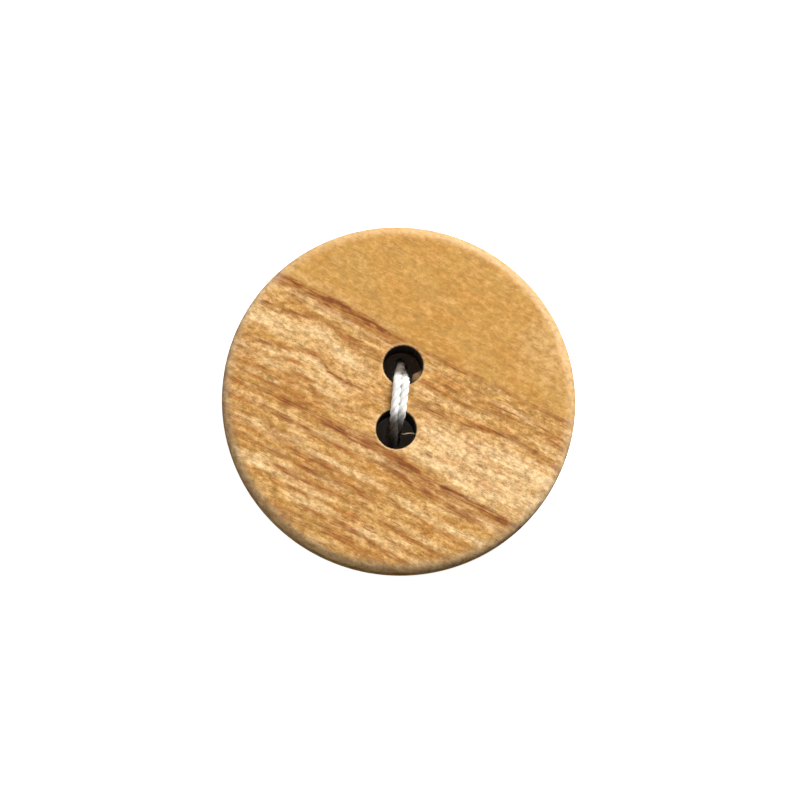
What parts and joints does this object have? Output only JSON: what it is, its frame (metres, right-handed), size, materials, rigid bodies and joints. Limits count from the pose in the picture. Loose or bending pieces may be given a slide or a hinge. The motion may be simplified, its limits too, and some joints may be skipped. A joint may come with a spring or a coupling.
{
  "type": "sew on button",
  "caption": "Flat round wooden button with sewing holes and a doubled white thread tied through them; it lies on the rim of its hollowed back.",
  "frame": {"origin": "middle of the button's back plane, on the disc's axis", "axes": "+Z out of the face along the disc's axis, +Y from the lower hole to the upper hole, +X to the right as the face is seen"},
  "size_m": [0.025, 0.025, 0.005],
  "materials": {
    "wood": "turned and sanded, lightly oiled, satin",
    "thread": "matt twisted sewing thread"
  },
  "bodies": {
    "button": {"button_disc": "wood"},
    "tie": {"thread_strand_left": "thread", "thread_strand_right": "thread", "thread_knot": "thread", "thread_tail_1": "thread", "thread_tail_2": "thread", "thread_tail_3": "thread", "thread_tail_4": "thread"}
  },
  "joints": [
    {"name": "tie_slide", "type": "slide", "parent": "button", "child": "tie", "axis": [0, 0, 1], "range_m": [0, 0.00075]}
  ]
}
